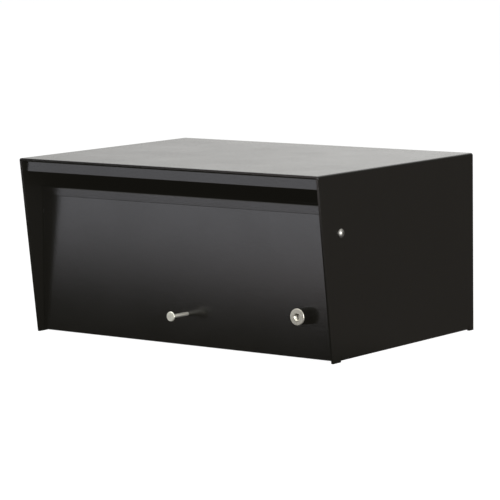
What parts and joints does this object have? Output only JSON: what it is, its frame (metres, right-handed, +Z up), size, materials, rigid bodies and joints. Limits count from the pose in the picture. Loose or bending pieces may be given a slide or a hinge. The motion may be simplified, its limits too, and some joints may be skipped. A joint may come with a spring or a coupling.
{
  "type": "letterbox",
  "caption": "Black powder-coated sheet letterbox with a mail slot under an overhanging top, and a locking front door that swings up on two side screws.",
  "frame": {"origin": "on the ground, under the middle of the box's bounding box", "axes": "+X to the right seen from the front, +Y from the front to the back, +Z up"},
  "size_m": [0.4056, 0.2879, 0.1934],
  "materials": {
    "black_coat": "satin",
    "stainless": "satin",
    "zinc_plate": "satin",
    "nickel_lock": "satin",
    "black_plastic": "matte",
    "black_nylon": "matte",
    "black_rubber": "matte",
    "aluminium_rivet": "satin"
  },
  "bodies": {
    "cabinet": {"hood": "black_coat", "rain_lip": "black_coat", "mail_rail": "black_coat", "floor_pan": "black_coat", "floor_rivets": "aluminium_rivet", "back_panel": "black_coat", "back_rivets": "aluminium_rivet", "lock_keeper": "black_coat", "door_bumpers": "black_rubber", "pivot_bush_left": "black_nylon", "pivot_bush_right": "black_nylon"},
    "door": {"door_panel": "black_coat", "pivot_bosses": "zinc_plate", "pivot_pin_left": "stainless", "pivot_pin_right": "stainless", "door_knob": "stainless", "knob_washer": "zinc_plate", "knob_nut": "zinc_plate", "lock_body": "nickel_lock", "lock_collar": "black_plastic", "lock_washer": "zinc_plate", "lock_nut": "zinc_plate"},
    "lock_core": {"lock_plug": "nickel_lock", "cam_lever": "zinc_plate", "cam_washer": "zinc_plate", "cam_screw": "zinc_plate"}
  },
  "joints": [
    {"name": "door_swing", "type": "hinge", "parent": "cabinet", "child": "door", "pos_m": [0, -0.10495, 0.13215], "axis": [-1, 0, 0], "range_deg": [0, 120]},
    {"name": "lock_turn", "type": "hinge", "parent": "door", "child": "lock_core", "pos_m": [0.15915, -0.11232, 0.04544], "axis": [0, -0.9997, 0.0227], "range_deg": [0, 90]}
  ]
}
